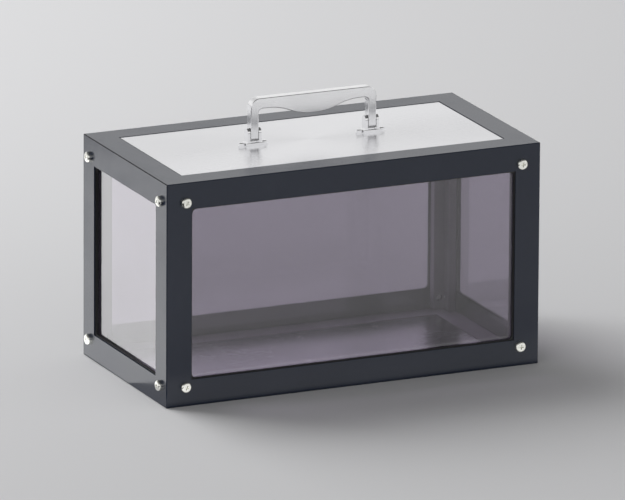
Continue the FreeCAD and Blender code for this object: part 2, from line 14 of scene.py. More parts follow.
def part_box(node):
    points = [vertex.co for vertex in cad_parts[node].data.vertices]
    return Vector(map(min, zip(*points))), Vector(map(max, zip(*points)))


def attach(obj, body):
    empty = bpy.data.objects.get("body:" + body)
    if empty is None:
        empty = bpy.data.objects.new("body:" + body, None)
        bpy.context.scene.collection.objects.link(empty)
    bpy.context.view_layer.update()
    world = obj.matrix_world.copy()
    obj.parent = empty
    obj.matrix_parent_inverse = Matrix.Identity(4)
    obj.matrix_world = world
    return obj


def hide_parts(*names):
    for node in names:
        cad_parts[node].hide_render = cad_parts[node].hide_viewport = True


bl_info = {
    "name": "Isolation Box Finishes",
    "version": (1, 0, 0),
    "blender": (4, 5, 0),
    "location": "View3D > Sidebar > Isolation Box",
    "description": "Builds the finished pieces of a laboratory isolation box around its CAD frame",
    "category": "Object",
}

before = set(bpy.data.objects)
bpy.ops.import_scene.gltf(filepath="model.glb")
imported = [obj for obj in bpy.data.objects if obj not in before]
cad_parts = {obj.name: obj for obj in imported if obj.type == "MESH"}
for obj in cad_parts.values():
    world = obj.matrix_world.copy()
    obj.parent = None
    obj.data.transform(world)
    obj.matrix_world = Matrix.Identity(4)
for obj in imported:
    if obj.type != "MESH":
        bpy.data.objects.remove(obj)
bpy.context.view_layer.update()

MM = 0.001
WALLS = ("front", "rear", "left", "right")
CORNERS = ("front_left", "front_right", "rear_left", "rear_right")

# Outward normal of each face that carries fasteners, and the direction across it.
FACES = {
    "front": (Vector((0, -1, 0)), Vector((1, 0, 0))),
    "rear": (Vector((0, 1, 0)), Vector((-1, 0, 0))),
    "left": (Vector((-1, 0, 0)), Vector((0, -1, 0))),
    "right": (Vector((1, 0, 0)), Vector((0, 1, 0))),
    "top": (Vector((0, 0, 1)), Vector((1, 0, 0))),
    "bottom": (Vector((0, 0, -1)), Vector((1, 0, 0))),
}


# ---------------------------------------------------------------- places and sizes

def face_matrix(face, centre):
    """Local x across the face, y up it and z out of it, with the origin at centre."""
    outward, across = FACES[face]
    upward = outward.cross(across)
    turned = Matrix((across, upward, outward)).transposed().to_4x4()
    return Matrix.Translation(centre) @ turned


# Width of the bevel along the box's edges, and radii and heights of the fasteners' heads.
EDGE_BEVEL = 0.6 * MM
PAN_HEAD = 4.75 * MM
SUNK_HEAD = 3.9 * MM
SMALL_HEAD = 2.5 * MM
SMALL_HEAD_HEIGHT = 2.4 * MM

# How the fasteners are turned: sides, points along a rounding, rounding of the shank's end,
# and how much narrower a recess is at its bottom than at its top.
TURNED_SIDES = 40
ROUNDING_POINTS = 7
TIP_ROUNDING = 0.5 * MM
RECESS_TAPER = 0.45

# Points closer than this are one point, and edges sharper than this stay sharp.
MERGE_DISTANCE = 0.001 * MM
SHELL_MERGE_DISTANCE = 0.0005 * MM
SHARP_DEGREES = 35

# How far inside the frames' inner faces the mask of those faces still reaches.
FACE_MARGIN = 0.05 * MM

# Painted shade on the side bevels: their near-black colour, and the share of the coating's reflection
# that they lose.
BEVEL_SHADE_COLOUR = (0.006, 0.006, 0.009, 1)
BEVEL_SHADE_DULLING = 0.75

# Share of the hard coat that is left where a window is rubbed.
RUBBED_COAT = 0.9

# Colours at the low and the high spots of the rubber's grain.
RUBBER_COLOURS = ((0.006, 0.006, 0.007, 1), (0.016, 0.016, 0.017, 1))

# Change of a metal's roughness with its grain, and its colour's share at low and high spots.
METAL_GRAIN_VARIATION = 0.05
METAL_SHADES = (0.96, 1.03)

# The stage: radius of the floor, heights of the cards on it, and where the camera looks.
FLOOR_RADIUS = 40.0
REFLECTOR_HEIGHT = 1.0 * MM
FLAG_HEIGHT = 1.5 * MM
CAMERA_TARGET = Vector((0.0010, -0.0009, 0.0989))


# ---------------------------------------------------------------- settings

class ISOBOX_PG_coating(bpy.types.PropertyGroup):
    """The dark coating of the frames, and the greyer one inside them and on the posts."""
    colour: FloatVectorProperty(
        name="Colour", description="Base colour of the coating",
        subtype="COLOR", size=3, min=0, max=1, default=(0.011, 0.017, 0.034))
    worn_colour: FloatVectorProperty(
        name="Worn colour", description="Colour where the coating is rubbed",
        subtype="COLOR", size=3, min=0, max=1, default=(0.016, 0.022, 0.040))
    inner_colour: FloatVectorProperty(
        name="Inner colour", description="Colour of the posts and of the frames' inner sides",
        subtype="COLOR", size=3, min=0, max=1, default=(0.245, 0.225, 0.262))
    sheen: FloatProperty(
        name="Sheen", description="Strength of the coating's mirror reflection",
        subtype="FACTOR", min=0, max=1, default=0.44)
    gloss_low: FloatProperty(
        name="Smooth roughness", description="Roughness where the coating is clean",
        subtype="FACTOR", min=0, max=1, default=0.17)
    gloss_high: FloatProperty(
        name="Rubbed roughness", description="Roughness where the coating is rubbed",
        subtype="FACTOR", min=0, max=1, default=0.27)
    peel: FloatProperty(
        name="Orange peel", description="Depth of the coating's fine texture",
        subtype="DISTANCE", unit="LENGTH", min=0, default=0.00002)


class ISOBOX_PG_window(bpy.types.PropertyGroup):
    """The tinted sheets."""
    tint: FloatVectorProperty(
        name="Tint", description="Share of light that a sheet lets through",
        subtype="COLOR", size=3, min=0, max=1, default=(0.54, 0.505, 0.575))
    refraction: FloatProperty(
        name="Refraction", description="Refractive index of the sheets",
        min=1, max=2, default=1.585)
    hard_coat: FloatProperty(
        name="Hard coat", description="Strength of the scratch-proof coat's own reflection",
        subtype="FACTOR", min=0, max=1, default=0.75)
    clearance: FloatProperty(
        name="Clearance", description="Gap between a sheet and the frame that holds it",
        subtype="DISTANCE", unit="LENGTH", min=0, default=0.04 * MM)


class ISOBOX_PG_metal(bpy.types.PropertyGroup):
    """The bare and plated metals."""
    plate_colour: FloatVectorProperty(
        name="Plate", description="Colour of the satin lid and floor plates",
        subtype="COLOR", size=3, min=0, max=1, default=(0.86, 0.86, 0.88))
    chrome_colour: FloatVectorProperty(
        name="Chrome", description="Colour of the handle and its brackets",
        subtype="COLOR", size=3, min=0, max=1, default=(0.91, 0.91, 0.92))
    zinc_colour: FloatVectorProperty(
        name="Zinc", description="Colour of the plated screws and nuts",
        subtype="COLOR", size=3, min=0, max=1, default=(0.93, 0.93, 0.87))


class ISOBOX_PG_stage(bpy.types.PropertyGroup):
    """The floor and the camera."""
    floor_colour: FloatVectorProperty(
        name="Floor", description="Colour of the plain floor",
        subtype="COLOR", size=3, min=0, max=1, default=(0.64, 0.64, 0.65))
    azimuth: FloatProperty(
        name="Azimuth", description="Camera direction round the box, 0 from the front",
        subtype="ANGLE", unit="ROTATION", default=math.radians(-24.32))
    elevation: FloatProperty(
        name="Elevation", description="Camera direction above the horizon",
        subtype="ANGLE", unit="ROTATION", default=math.radians(15.86))
    roll: FloatProperty(
        name="Roll", description="Camera turn about its own line of sight",
        subtype="ANGLE", unit="ROTATION", default=math.radians(0.34))
    distance: FloatProperty(
        name="Distance", description="From the camera to the point that it looks at",
        subtype="DISTANCE", unit="LENGTH", min=0.1, default=10.08)
    lens: FloatProperty(
        name="Focal length", description="Focal length of the camera in millimetres",
        min=1, default=666.0)


class ISOBOX_PG_settings(bpy.types.PropertyGroup):
    """All settings of the box, kept on the scene."""
    coating: PointerProperty(type=ISOBOX_PG_coating)
    window: PointerProperty(type=ISOBOX_PG_window)
    metal: PointerProperty(type=ISOBOX_PG_metal)
    stage: PointerProperty(type=ISOBOX_PG_stage)


# ---------------------------------------------------------------- node helpers

def add_node(tree, kind, inputs=None, **settings):
    """A node with its settings and inputs; an input is a value or the socket that feeds it."""
    made = tree.nodes.new(kind)
    for name, value in settings.items():
        setattr(made, name, value)
    for key, value in (inputs or {}).items():
        if isinstance(value, bpy.types.NodeSocket):
            tree.links.new(value, made.inputs[key])
        else:
            made.inputs[key].default_value = value
    return made


def calc(tree, operation, first, second=0.0):
    """The result of one sum on values or sockets."""
    made = add_node(tree, "ShaderNodeMath", {0: first, 1: second}, operation=operation)
    return made.outputs[0]


def new_group(kind, name, inputs, outputs):
    """A node group with its named sockets, and its input and output nodes."""
    group = bpy.data.node_groups.new(name, kind)
    for socket_name, socket_type, default in inputs:
        socket = group.interface.new_socket(socket_name, in_out="INPUT", socket_type=socket_type)
        if default is not None:
            socket.default_value = default
    for socket_name, socket_type in outputs:
        group.interface.new_socket(socket_name, in_out="OUTPUT", socket_type=socket_type)
    start = group.nodes.new("NodeGroupInput")
    end = group.nodes.new("NodeGroupOutput")
    return group, start, end


FLOAT, VECTOR = "NodeSocketFloat", "NodeSocketVector"
GEOMETRY, MATERIAL, WHOLE = "NodeSocketGeometry", "NodeSocketMaterial", "NodeSocketInt"


# ---------------------------------------------------------------- shared surface effects

def grain_group():
    """Fine texture: noise stretched along one direction, as a height and a roughness change."""
    group, start, end = new_group(
        "ShaderNodeTree", "fine_grain",
        [("Vector", VECTOR, None), ("Scale", FLOAT, 1000.0), ("Stretch", VECTOR, (1, 1, 1)),
         ("Variation", FLOAT, 0.1), ("Base Roughness", FLOAT, 0.3)],
        [("Height", FLOAT), ("Roughness", FLOAT)])
    stretched = add_node(group, "ShaderNodeVectorMath",
                         {0: start.outputs["Vector"], 1: start.outputs["Stretch"]}, operation="MULTIPLY")
    noise = add_node(group, "ShaderNodeTexNoise",
                     {"Vector": stretched.outputs[0], "Scale": start.outputs["Scale"],
                      "Detail": 3.0, "Roughness": 0.6})
    centred = calc(group, "SUBTRACT", noise.outputs[0], 0.5)
    change = calc(group, "MULTIPLY", centred, start.outputs["Variation"])
    roughness = calc(group, "ADD", start.outputs["Base Roughness"], change)
    group.links.new(noise.outputs[0], end.inputs["Height"])
    group.links.new(roughness, end.inputs["Roughness"])
    return group


def smudge_group():
    """Soft patches left by handling, as a mask from 0 to 1 and a value between two others."""
    group, start, end = new_group(
        "ShaderNodeTree", "handling_marks",
        [("Vector", VECTOR, None), ("Scale", FLOAT, 12.0), ("Clean", FLOAT, 0.2), ("Rubbed", FLOAT, 0.3)],
        [("Mask", FLOAT), ("Value", FLOAT)])
    noise = add_node(group, "ShaderNodeTexNoise",
                     {"Vector": start.outputs["Vector"], "Scale": start.outputs["Scale"],
                      "Detail": 5.0, "Roughness": 0.62, "Distortion": 0.6})
    mask = add_node(group, "ShaderNodeMapRange",
                    {"Value": noise.outputs[0], "From Min": 0.38, "From Max": 0.68},
                    interpolation_type="SMOOTHSTEP")
    span = calc(group, "SUBTRACT", start.outputs["Rubbed"], start.outputs["Clean"])
    change = calc(group, "MULTIPLY", mask.outputs[0], span)
    value = calc(group, "ADD", start.outputs["Clean"], change)
    group.links.new(mask.outputs[0], end.inputs["Mask"])
    group.links.new(value, end.inputs["Value"])
    return group


def from_centre(group, start):
    """Distance of a point from a centre, along each axis."""
    offset = add_node(group, "ShaderNodeVectorMath",
                      {0: start.outputs["Vector"], 1: start.outputs["Centre"]}, operation="SUBTRACT")
    distance = add_node(group, "ShaderNodeVectorMath", {0: offset.outputs[0]}, operation="ABSOLUTE")
    return distance.outputs[0]


def mask_group(name):
    """An empty group for a mask that is set by a centre and a half size."""
    return new_group(
        "ShaderNodeTree", name,
        [("Vector", VECTOR, None), ("Centre", VECTOR, None), ("Half Size", VECTOR, None)],
        [("Mask", FLOAT)])


def inside_group():
    """1 for what lies within a box round a centre, such as the walls' inner faces, and 0 outside."""
    group, start, end = mask_group("inside_mask")
    room = add_node(group, "ShaderNodeVectorMath",
                    {0: start.outputs["Half Size"], 1: from_centre(group, start)}, operation="SUBTRACT")
    parts = add_node(group, "ShaderNodeSeparateXYZ", {0: room.outputs[0]})
    within = [calc(group, "GREATER_THAN", parts.outputs[letter]) for letter in "XYZ"]
    mask = calc(group, "MULTIPLY", calc(group, "MULTIPLY", within[0], within[1]), within[2])
    group.links.new(mask, end.inputs["Mask"])
    return group


def bevel_shade_group():
    """Mask of the painted shade: 1 on the bevels that run front to back along the corners of a box, and 0
    elsewhere.
    """
    group, start, end = mask_group("painted_bevel_shade")
    beyond = add_node(group, "ShaderNodeVectorMath",
                      {0: from_centre(group, start), 1: start.outputs["Half Size"]}, operation="SUBTRACT")
    parts = add_node(group, "ShaderNodeSeparateXYZ", {0: beyond.outputs[0]})
    is_side = calc(group, "GREATER_THAN", parts.outputs["X"])
    is_end = calc(group, "GREATER_THAN", parts.outputs["Z"])
    mask = calc(group, "MULTIPLY", is_side, is_end)
    group.links.new(mask, end.inputs["Mask"])
    return group


def use_group(tree, name, maker, **inputs):
    """Place a shared effect in a material, with its own values; it is built when first used."""
    made = tree.nodes.new("ShaderNodeGroup")
    made.node_tree = bpy.data.node_groups.get(name) or maker()
    for key, value in inputs.items():
        socket = made.inputs[key.replace("_", " ")]
        if isinstance(value, bpy.types.NodeSocket):
            tree.links.new(value, socket)
        else:
            socket.default_value = value
    return made


def new_material(name):
    """A material with one Principled shader, and its object coordinates."""
    material = bpy.data.materials.new(name)
    material.use_nodes = True
    tree = material.node_tree
    shader = tree.nodes["Principled BSDF"]
    place = tree.nodes.new("ShaderNodeTexCoord").outputs["Object"]
    return material, tree, shader, place


def bump(tree, shader, height, distance):
    """Raise a shader's surface by a height from 0 to 1 times a distance."""
    made = add_node(tree, "ShaderNodeBump", {"Height": height, "Distance": distance, "Strength": 1.0})
    tree.links.new(made.outputs[0], shader.inputs["Normal"])


# ---------------------------------------------------------------- materials

def blend_colours(tree, factor, low, high):
    """One colour at factor 0 and another at 1; each is a colour or the socket that feeds it."""
    made = add_node(tree, "ShaderNodeMix", {"Factor": factor}, data_type="RGBA")
    for key, value in (("A", low), ("B", high)):
        if isinstance(value, bpy.types.NodeSocket):
            tree.links.new(value, made.inputs[key])
        else:
            made.inputs[key].default_value = value
    return made.outputs["Result"]


def coating_material(name, settings, outer, worn):
    """Satin coating, greyer on whatever faces the chamber, with painted shade along the side bevels."""
    material, tree, shader, place = new_material(name)
    marks = use_group(tree, "handling_marks", smudge_group, Vector=place, Scale=9.0,
                      Clean=settings.gloss_low, Rubbed=settings.gloss_high)
    grain = use_group(tree, "fine_grain", grain_group, Vector=place, Scale=900.0)
    colour = blend_colours(tree, marks.outputs["Mask"], (*outer, 1), (*worn, 1))
    front_low, front_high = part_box("front_frame")
    wall = front_high.y - front_low.y
    box_low, box_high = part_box("bottom_frame")[0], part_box("top_frame")[1]
    centre, half = (box_low + box_high) / 2, (box_high - box_low) / 2
    inner = use_group(tree, "inside_mask", inside_group, Vector=place, Centre=centre,
                      Half_Size=half - Vector((1, 1, 1)) * (wall - FACE_MARGIN))
    bevel_shade_node = use_group(tree, "painted_bevel_shade", bevel_shade_group, Vector=place, Centre=centre,
                     Half_Size=half - Vector((1, 1, 1)) * EDGE_BEVEL)
    both = blend_colours(tree, inner.outputs["Mask"], colour, (*settings.inner_colour, 1))
    # Painted shade: the side bevels are coloured near black under any light.
    bevel_shaded_colour = blend_colours(tree, bevel_shade_node.outputs["Mask"], both, BEVEL_SHADE_COLOUR)
    tree.links.new(bevel_shaded_colour, shader.inputs["Base Color"])
    tree.links.new(marks.outputs["Value"], shader.inputs["Roughness"])
    # Painted shade: the side bevels also lose most of the coating's reflection.
    clear = calc(tree, "SUBTRACT", 1.0, calc(tree, "MULTIPLY", bevel_shade_node.outputs["Mask"], BEVEL_SHADE_DULLING))
    tree.links.new(calc(tree, "MULTIPLY", clear, settings.sheen), shader.inputs["Specular IOR Level"])
    bump(tree, shader, grain.outputs["Height"], settings.peel)
    return material


def window_material(settings):
    """Tinted sheet with a hard coat, duller where it is rubbed; lamplight passes straight through."""
    material, tree, shader, place = new_material("tinted_sheet")
    marks = use_group(tree, "handling_marks", smudge_group, Vector=place, Scale=7.0,
                      Clean=settings.hard_coat, Rubbed=RUBBED_COAT * settings.hard_coat)
    shader.inputs["Base Color"].default_value = (*settings.tint, 1)
    shader.inputs["Transmission Weight"].default_value = 1.0
    shader.inputs["IOR"].default_value = settings.refraction
    shader.inputs["Roughness"].default_value = 0.0
    tree.links.new(marks.outputs["Value"], shader.inputs["Coat Weight"])
    one_face = [math.sqrt(channel) for channel in settings.tint]
    through = add_node(tree, "ShaderNodeBsdfTransparent", {"Color": (*one_face, 1)})
    path = tree.nodes.new("ShaderNodeLightPath")
    mixed = add_node(tree, "ShaderNodeMixShader",
                     {0: path.outputs["Is Shadow Ray"], 1: shader.outputs[0], 2: through.outputs[0]})
    tree.links.new(mixed.outputs[0], tree.nodes["Material Output"].inputs["Surface"])
    return material


def rubber_material():
    """Matt black rubber with a fine grain."""
    material, tree, shader, place = new_material("black_rubber_bead")
    grain = use_group(tree, "fine_grain", grain_group, Vector=place, Scale=2500.0,
                      Variation=0.25, Base_Roughness=0.62)
    shade = blend_colours(tree, grain.outputs["Height"], *RUBBER_COLOURS)
    tree.links.new(shade, shader.inputs["Base Color"])
    tree.links.new(grain.outputs["Roughness"], shader.inputs["Roughness"])
    bump(tree, shader, grain.outputs["Height"], 0.03 * MM)
    return material


def metal_material(name, colour, clean, rubbed, grain_scale, grain_depth,
                   stretch=(1, 1, 1), anisotropic=0.0):
    """Bare or plated metal with a fine grain, and patches a little duller than the rest."""
    material, tree, shader, place = new_material(name)
    marks = use_group(tree, "handling_marks", smudge_group, Vector=place, Scale=14.0,
                      Clean=clean, Rubbed=rubbed)
    grain = use_group(tree, "fine_grain", grain_group, Vector=place, Scale=grain_scale,
                      Stretch=stretch, Variation=METAL_GRAIN_VARIATION,
                      Base_Roughness=marks.outputs["Value"])
    low, high = [(*(min(1.0, share * channel) for channel in colour), 1) for share in METAL_SHADES]
    shade = blend_colours(tree, grain.outputs["Height"], low, high)
    tree.links.new(shade, shader.inputs["Base Color"])
    tree.links.new(grain.outputs["Roughness"], shader.inputs["Roughness"])
    shader.inputs["Metallic"].default_value = 1.0
    shader.inputs["Anisotropic"].default_value = anisotropic
    bump(tree, shader, grain.outputs["Height"], grain_depth)
    return material


def matt_material(name, colour):
    """One plain colour without any shine, for the floor and the cards on it."""
    material, _, shader, _ = new_material(name)
    shader.inputs["Base Color"].default_value = (*colour, 1)
    shader.inputs["Roughness"].default_value = 0.9
    shader.inputs["Specular IOR Level"].default_value = 0.0
    return material


def chrome():
    """Bright plating of the brackets, their screws and the pins."""
    colour = bpy.context.scene.isobox.metal.chrome_colour
    return bpy.data.materials.get("bright_chrome") or metal_material(
        "bright_chrome", colour, clean=0.05, rubbed=0.09, grain_scale=700.0, grain_depth=0.002 * MM)


def satin_chrome():
    """Softer plating of the handle."""
    colour = bpy.context.scene.isobox.metal.chrome_colour
    return metal_material(
        "satin_chrome", colour, clean=0.17, rubbed=0.21, grain_scale=700.0, grain_depth=0.002 * MM)


def zinc():
    """Plating of the wall screws, the base screws and the nuts."""
    colour = bpy.context.scene.isobox.metal.zinc_colour
    return bpy.data.materials.get("bright_zinc") or metal_material(
        "bright_zinc", colour, clean=0.20, rubbed=0.32, grain_scale=1300.0, grain_depth=0.02 * MM)


def dress(node, material):
    """Give a CAD node its finish."""
    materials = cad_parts[node].data.materials
    materials.clear()
    materials.append(material)


# ---------------------------------------------------------------- pieces

def finish_piece(item, body, replaced):
    """Ride on a body and stand for a CAD node."""
    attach(item, body)
    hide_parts(replaced)


def link_mesh(name, mesh, material):
    """A mesh as an object in the scene, with one material."""
    item = bpy.data.objects.new(name, mesh)
    bpy.context.scene.collection.objects.link(item)
    mesh.materials.clear()
    mesh.materials.append(material)
    return item


def merged_copy(node, name):
    """A closed flat-shaded copy of a CAD node's mesh, free of the node's own normals."""
    shell = bmesh.new()
    shell.from_mesh(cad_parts[node].data)
    bmesh.ops.remove_doubles(shell, verts=shell.verts, dist=MERGE_DISTANCE)
    bmesh.ops.recalc_face_normals(shell, faces=shell.faces)
    mesh = bpy.data.meshes.new(name)
    shell.to_mesh(mesh)
    shell.free()
    for attribute in ("custom_normal", "sharp_face", "sharp_edge"):
        if attribute in mesh.attributes:
            mesh.attributes.remove(mesh.attributes[attribute])
    mesh.shade_flat()
    return mesh


def screw_tree():
    """Four turned screws with a cross recess, at the corners of a rectangle or all in one row."""
    group, start, end = new_group(
        "GeometryNodeTree", "cross_recess_screws",
        [("Head Radius", FLOAT, PAN_HEAD), ("Head Height", FLOAT, 3.7 * MM),
         ("Head Rounding", FLOAT, 2.0 * MM), ("Rim Height", FLOAT, 3.7 * MM),
         ("Cone Depth", FLOAT, 0.0), ("Shank Radius", FLOAT, 2.5 * MM),
         ("Shank Length", FLOAT, 12.0 * MM), ("Recess Width", FLOAT, 1.1 * MM),
         ("Recess Span", FLOAT, 5.2 * MM), ("Recess Depth", FLOAT, 2.0 * MM),
         ("Across", FLOAT, 0.1), ("Up", FLOAT, 0.1), ("Row", FLOAT, 0.0), ("Seed", WHOLE, 0),
         ("Material", MATERIAL, None)],
        [("Geometry", GEOMETRY)])
    value = start.outputs
    index = group.nodes.new("GeometryNodeInputIndex").outputs[0]
    rim_low = calc(group, "SUBTRACT", value["Head Height"], value["Rim Height"])
    cone_low = calc(group, "SUBTRACT", rim_low, value["Cone Depth"])
    tip = calc(group, "MULTIPLY", value["Shank Length"], -1.0)
    outline = ((0.0, value["Head Height"]), (value["Head Radius"], value["Head Height"]),
               (value["Head Radius"], rim_low), (value["Shank Radius"], cone_low),
               (value["Shank Radius"], tip), (0.0, tip))
    places = group.nodes.new("GeometryNodeIndexSwitch")
    places.data_type = "VECTOR"
    rounding = group.nodes.new("GeometryNodeIndexSwitch")
    rounding.data_type = "FLOAT"
    for switch in (places, rounding):
        for _ in range(len(outline) - len(switch.index_switch_items)):
            switch.index_switch_items.new()
        group.links.new(index, switch.inputs["Index"])
    for number, (radius, height) in enumerate(outline, start=1):
        point = add_node(group, "ShaderNodeCombineXYZ", {"X": radius, "Z": height})
        group.links.new(point.outputs[0], places.inputs[number])
    # Input 0 of a switch is its index, so input 2 is the head's edge and 5 the end of the shank.
    group.links.new(value["Head Rounding"], rounding.inputs[2])
    rounding.inputs[5].default_value = TIP_ROUNDING
    points = add_node(group, "GeometryNodePoints",
                      {"Count": len(outline), "Position": places.outputs[0]})
    line = add_node(group, "GeometryNodePointsToCurves", {0: points.outputs[0]})
    profile = add_node(group, "GeometryNodeFilletCurve",
                       {"Curve": line.outputs[0], "Radius": rounding.outputs[0],
                        "Count": ROUNDING_POINTS, "Limit Radius": True}, mode="POLY")
    solid = revolve(group, profile.outputs[0], index)
    cutters = []
    span, width = value["Recess Span"], value["Recess Width"]
    for size in ((span, width), (width, span)):
        depth = calc(group, "MULTIPLY", value["Recess Depth"], 2.0)
        edges = add_node(group, "ShaderNodeCombineXYZ", {"X": size[0], "Y": size[1], "Z": depth})
        cube = add_node(group, "GeometryNodeMeshCube", {"Size": edges.outputs[0]})
        spot = group.nodes.new("GeometryNodeInputPosition").outputs[0]
        parts = add_node(group, "ShaderNodeSeparateXYZ", {0: spot})
        is_low = calc(group, "LESS_THAN", parts.outputs["Z"], 0.0)
        narrowing = calc(group, "SUBTRACT", 1.0, calc(group, "MULTIPLY", is_low, RECESS_TAPER))
        tapered = add_node(group, "ShaderNodeCombineXYZ", {
            "X": calc(group, "MULTIPLY", parts.outputs["X"], narrowing),
            "Y": calc(group, "MULTIPLY", parts.outputs["Y"], narrowing),
            "Z": calc(group, "ADD", parts.outputs["Z"], value["Head Height"])})
        placed = add_node(group, "GeometryNodeSetPosition",
                          {"Geometry": cube.outputs[0], "Position": tapered.outputs[0]})
        cutters.append(placed.outputs[0])
    recessed = add_node(group, "GeometryNodeMeshBoolean", {"Mesh 1": solid}, operation="DIFFERENCE",
                        solver="EXACT")
    for cutter in cutters:
        group.links.new(cutter, recessed.inputs["Mesh 2"])
    set_in_rectangle(group, start, end, recessed.outputs[0])
    return group


def revolve(group, profile, index):
    """A closed solid turned about Z from a curve of points, with x as radius and z as height."""
    count = add_node(group, "GeometryNodeAttributeDomainSize", {0: profile}, component="CURVE").outputs[0]
    grid = add_node(group, "GeometryNodeMeshGrid",
                    {"Vertices X": TURNED_SIDES + 1, "Vertices Y": count})
    along = calc(group, "MODULO", index, count)
    step = calc(group, "FLOOR", calc(group, "DIVIDE", index, count))
    turn = calc(group, "MULTIPLY", step, -2 * math.pi / TURNED_SIDES)
    position = group.nodes.new("GeometryNodeInputPosition").outputs[0]
    sample = add_node(group, "GeometryNodeSampleIndex", {"Geometry": profile, "Index": along},
                      data_type="FLOAT_VECTOR", domain="POINT")
    group.links.new(position, sample.inputs["Value"])
    parts = add_node(group, "ShaderNodeSeparateXYZ", {0: sample.outputs[0]})
    turned = add_node(group, "ShaderNodeCombineXYZ", {
        "X": calc(group, "MULTIPLY", parts.outputs["X"], calc(group, "COSINE", turn)),
        "Y": calc(group, "MULTIPLY", parts.outputs["X"], calc(group, "SINE", turn)),
        "Z": parts.outputs["Z"]})
    shaped = add_node(group, "GeometryNodeSetPosition",
                      {"Geometry": grid.outputs["Mesh"], "Position": turned.outputs[0]})
    merged = add_node(group, "GeometryNodeMergeByDistance",
                      {"Geometry": shaped.outputs[0], "Distance": MERGE_DISTANCE})
    return merged.outputs[0]


def set_in_rectangle(group, start, end, solid):
    """Copies at the corners of a rectangle, each turned by its own angle.

    With Row at 1 the height is laid along the width, which puts all four in one row.
    """
    width = calc(group, "MULTIPLY", start.outputs["Across"], 2.0)
    height = calc(group, "MULTIPLY", start.outputs["Up"], 2.0)
    corners = add_node(group, "GeometryNodeMeshGrid",
                       {"Size X": width, "Size Y": height, "Vertices X": 2, "Vertices Y": 2})
    position = group.nodes.new("GeometryNodeInputPosition").outputs[0]
    parts = add_node(group, "ShaderNodeSeparateXYZ", {0: position})
    laid = calc(group, "MULTIPLY", parts.outputs["Y"], start.outputs["Row"])
    upright = calc(group, "SUBTRACT", parts.outputs["Y"], laid)
    spot = add_node(group, "ShaderNodeCombineXYZ", {
        "X": calc(group, "ADD", parts.outputs["X"], laid), "Y": upright, "Z": parts.outputs["Z"]})
    spots = add_node(group, "GeometryNodeSetPosition",
                     {"Geometry": corners.outputs["Mesh"], "Position": spot.outputs[0]})
    angle = add_node(group, "FunctionNodeRandomValue", {"Seed": start.outputs["Seed"]}, data_type="FLOAT")
    angle.inputs[3].default_value = math.pi
    turn = add_node(group, "ShaderNodeCombineXYZ", {"Z": angle.outputs[1]})
    copies = add_node(group, "GeometryNodeInstanceOnPoints",
                      {"Points": spots.outputs[0], "Instance": solid, "Rotation": turn.outputs[0]})
    real = add_node(group, "GeometryNodeRealizeInstances", {0: copies.outputs[0]})
    coated = add_node(group, "GeometryNodeSetMaterial",
                      {"Geometry": real.outputs[0], "Material": start.outputs["Material"]})
    group.links.new(coated.outputs[0], end.inputs[0])


def grow(name, group, inputs, matrix):
    """Run a Geometry Nodes tree with named inputs and keep the result as a plain mesh object."""
    seed_mesh = bpy.data.meshes.new(f"{name}_seed")
    seed = bpy.data.objects.new(f"{name}_seed", seed_mesh)
    bpy.context.scene.collection.objects.link(seed)
    modifier = seed.modifiers.new("grow", "NODES")
    modifier.node_group = group
    sockets = {item.name: item.identifier for item in group.interface.items_tree
               if item.item_type == "SOCKET" and item.in_out == "INPUT"}
    for key, value in inputs.items():
        modifier[sockets[key]] = value
    depsgraph = bpy.context.evaluated_depsgraph_get()
    depsgraph.update()
    mesh = bpy.data.meshes.new_from_object(seed.evaluated_get(depsgraph), depsgraph=depsgraph)
    bpy.data.objects.remove(seed)
    if not mesh.polygons:
        raise RuntimeError(f"{name} came out empty")
    mesh.transform(matrix)
    tidy_shell(mesh)
    mesh.name = name
    item = bpy.data.objects.new(name, mesh)
    bpy.context.scene.collection.objects.link(item)
    return item


def tidy_shell(mesh):
    """Merge doubles, point the faces outwards and shade smooth up to an angle."""
    shell = bmesh.new()
    shell.from_mesh(mesh)
    bmesh.ops.remove_doubles(shell, verts=shell.verts, dist=SHELL_MERGE_DISTANCE)
    bmesh.ops.recalc_face_normals(shell, faces=shell.faces)
    shell.to_mesh(mesh)
    shell.free()
    mesh.shade_smooth()
    mesh.set_sharp_from_angle(angle=math.radians(SHARP_DEGREES))


# ---------------------------------------------------------------- operators

class BuildOperator:
    """What every operator of the box shares."""
    bl_options = {"REGISTER", "UNDO"}

    @property
    def settings(self):
        """The box's settings, as they stand on the scene."""
        return bpy.context.scene.isobox


class ISOBOX_OT_frames(BuildOperator, bpy.types.Operator):
    """Coat the six frames and the four corner posts"""
    bl_idname = "isobox.frames"
    bl_label = "Coat Frames and Posts"

    def execute(self, context):
        settings = self.settings.coating
        coating = coating_material("slate_coating", settings, settings.colour, settings.worn_colour)
        for face in (*WALLS, "top", "bottom"):
            dress(f"{face}_frame", coating)
        post_coating = coating_material("post_coating", settings, settings.inner_colour,
                                        settings.inner_colour)
        for corner in CORNERS:
            dress(f"corner_post_{corner}", post_coating)
        return {"FINISHED"}


class ISOBOX_OT_windows(BuildOperator, bpy.types.Operator):
    """Fit the four tinted sheets, a hair clear of the frames that hold them"""
    bl_idname = "isobox.windows"
    bl_label = "Fit Windows"

    def execute(self, context):
        material = window_material(self.settings.window)
        for wall in WALLS:
            mesh = merged_copy(f"{wall}_window", f"{wall}_sheet")
            self.thin(mesh, FACES[wall][0])
            item = link_mesh(f"{wall}_sheet", mesh, material)
            finish_piece(item, "box", f"{wall}_window")
        return {"FINISHED"}

    def thin(self, mesh, outward):
        """Draw both faces of a sheet towards its middle by the clearance."""
        depths = [vertex.co.dot(outward) for vertex in mesh.vertices]
        middle = (min(depths) + max(depths)) / 2
        for vertex, depth in zip(mesh.vertices, depths):
            side = 1 if depth > middle else -1
            vertex.co -= outward * side * self.settings.window.clearance
        mesh.update()


